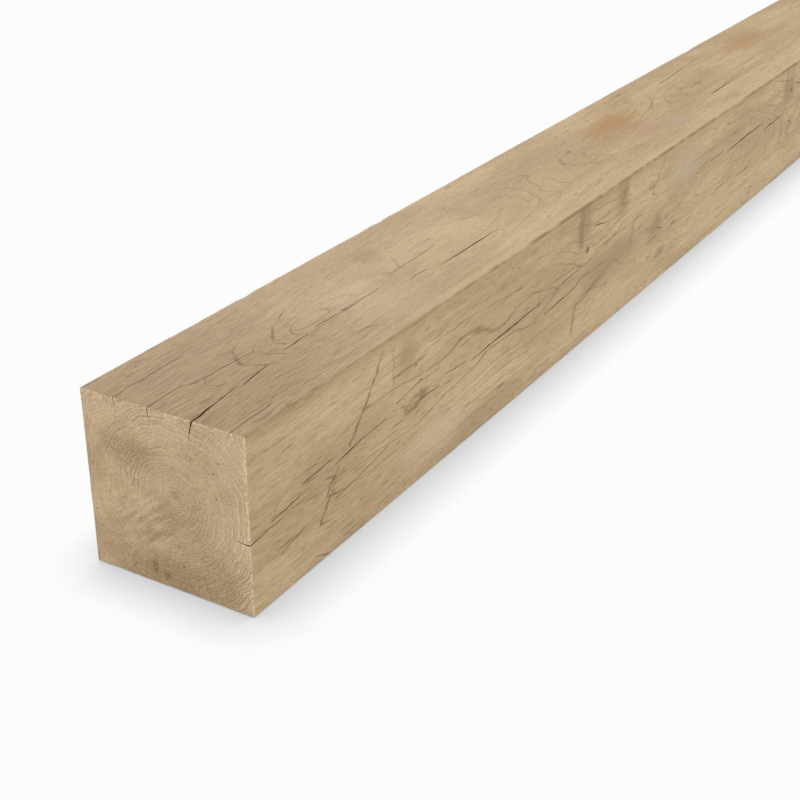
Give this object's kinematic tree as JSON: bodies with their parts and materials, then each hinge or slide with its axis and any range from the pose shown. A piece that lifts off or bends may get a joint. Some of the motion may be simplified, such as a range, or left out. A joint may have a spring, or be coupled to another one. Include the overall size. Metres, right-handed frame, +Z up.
{
  "type": "oak beam",
  "caption": "Straight square-sawn solid oak beam with eased arrises and open drying checks, lying on one long face.",
  "frame": {"origin": "middle of the underside, halfway along the beam", "axes": "+Y along the beam, away from the front end; +Z up; +X across the section, to the right seen from the front end"},
  "size_m": [0.15, 2.5, 0.15],
  "materials": {
    "sawn_oak": "bare band-sawn oak, dry and unfinished, matt, with growth rings on the ends and fine pores along the grain"
  },
  "bodies": {
    "root": {"oak_beam": "sawn_oak"}
  },
  "joints": []
}
